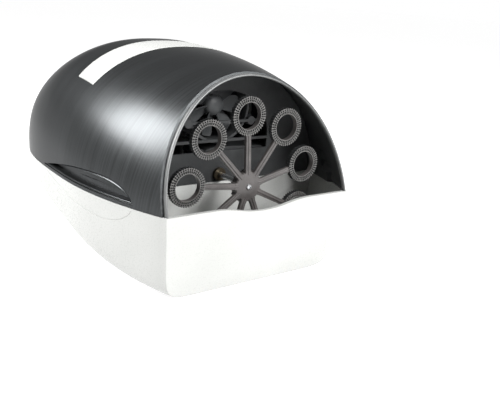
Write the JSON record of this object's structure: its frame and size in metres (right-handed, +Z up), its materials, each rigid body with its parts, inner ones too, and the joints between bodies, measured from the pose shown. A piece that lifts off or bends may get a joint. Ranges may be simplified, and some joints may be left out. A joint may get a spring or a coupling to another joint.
{
  "type": "bubble machine",
  "caption": "Egg-shaped bubble machine: dark hood over a white tank base, geared wand wheel in the open mouth, fan behind a barred baffle, flush carry handle.",
  "frame": {"origin": "middle of the footprint, on the surface that the rubber feet stand on", "axes": "+Z up; +Y from the open mouth back to the tail, so the wand wheel faces -Y; +X to the right of somebody looking in through the mouth"},
  "size_m": [0.2088, 0.265, 0.1629],
  "materials": {
    "charcoal_plastic": "satin gunmetal",
    "white_plastic": "gloss",
    "silver_trim": "satin silver paint on plastic",
    "wheel_plastic": "satin",
    "dark_plastic": "matt",
    "grey_plastic": "matt",
    "gear_plastic": "natural acetal",
    "steel": "bright",
    "brass": "turned",
    "rubber": "matt",
    "cell_wrap": "gloss sleeve"
  },
  "bodies": {
    "case": {"hood_shell": "charcoal_plastic", "rim_trim": "silver_trim", "base_shell": "white_plastic", "wheel_bush": "brass", "wheel_motor": "steel", "second_gear_pin": "steel", "first_gear_pin": "steel", "gearbox_front": "dark_plastic", "gearbox_rear": "dark_plastic", "gearbox_screw_1": "steel", "gearbox_screw_2": "steel", "gearbox_screw_3": "steel", "fan_baffle": "dark_plastic", "fan_shroud": "dark_plastic", "fan_motor": "steel", "fan_screw_1": "steel", "fan_screw_2": "steel", "fan_screw_3": "steel", "fan_screw_4": "steel", "battery_box": "dark_plastic", "battery_cell_1": "cell_wrap", "battery_cell_2": "cell_wrap", "battery_cell_3": "cell_wrap", "battery_cell_4": "cell_wrap", "battery_spring_1": "steel", "battery_spring_2": "steel", "battery_contact_1": "steel", "battery_contact_2": "steel", "switch_housing": "dark_plastic", "foot_1": "rubber", "foot_2": "rubber", "foot_3": "rubber", "foot_4": "rubber", "case_screw_1": "steel", "case_screw_2": "steel", "case_screw_3": "steel", "case_screw_4": "steel"},
    "wheel": {"wand_wheel": "wheel_plastic", "hub_screw": "steel", "wheel_shaft": "steel", "wheel_gear": "gear_plastic"},
    "second_idler": {"second_gear": "gear_plastic"},
    "first_idler": {"first_gear": "gear_plastic"},
    "motor_rotor": {"motor_pinion": "brass", "wheel_motor_shaft": "steel"},
    "fan_rotor": {"fan_impeller": "grey_plastic", "fan_motor_shaft": "steel"},
    "handle": {"carry_handle": "white_plastic"},
    "rocker": {"power_rocker": "charcoal_plastic"},
    "door": {"battery_door": "white_plastic"}
  },
  "joints": [
    {"name": "wheel_spin", "type": "hinge", "parent": "case", "child": "wheel", "pos_m": [0, -0.11, 0.071], "axis": [0, 1, 0], "continuous": true},
    {"name": "second_gear_spin", "type": "hinge", "parent": "case", "child": "second_idler", "pos_m": [0.01813, -0.059, 0.06255], "axis": [0, 1, 0], "continuous": true},
    {"name": "first_gear_spin", "type": "hinge", "parent": "case", "child": "first_idler", "pos_m": [0.03813, -0.054, 0.06255], "axis": [0, 1, 0], "continuous": true},
    {"name": "motor_spin", "type": "hinge", "parent": "case", "child": "motor_rotor", "pos_m": [0.04813, -0.05, 0.07987], "axis": [0, 1, 0], "continuous": true},
    {"name": "fan_spin", "type": "hinge", "parent": "case", "child": "fan_rotor", "pos_m": [0, -0.0595, 0.122], "axis": [0, 1, 0], "continuous": true},
    {"name": "handle_lift", "type": "slide", "parent": "case", "child": "handle", "axis": [0, 0, 1], "range_m": [0, 0.028]},
    {"name": "power_switch", "type": "hinge", "parent": "case", "child": "rocker", "pos_m": [0, 0.10601, 0.12239], "axis": [1, 0, 0], "range_deg": [0, 16]},
    {"name": "battery_door_hinge", "type": "hinge", "parent": "case", "child": "door", "pos_m": [0, 0.0295, 0.00435], "axis": [1, 0, 0], "range_deg": [0, 100]}
  ],
  "couplings": [
    {"joint": "second_gear_spin", "follows": "wheel_spin", "ratio": -4},
    {"joint": "first_gear_spin", "follows": "wheel_spin", "ratio": 16},
    {"joint": "motor_spin", "follows": "wheel_spin", "ratio": -64}
  ]
}
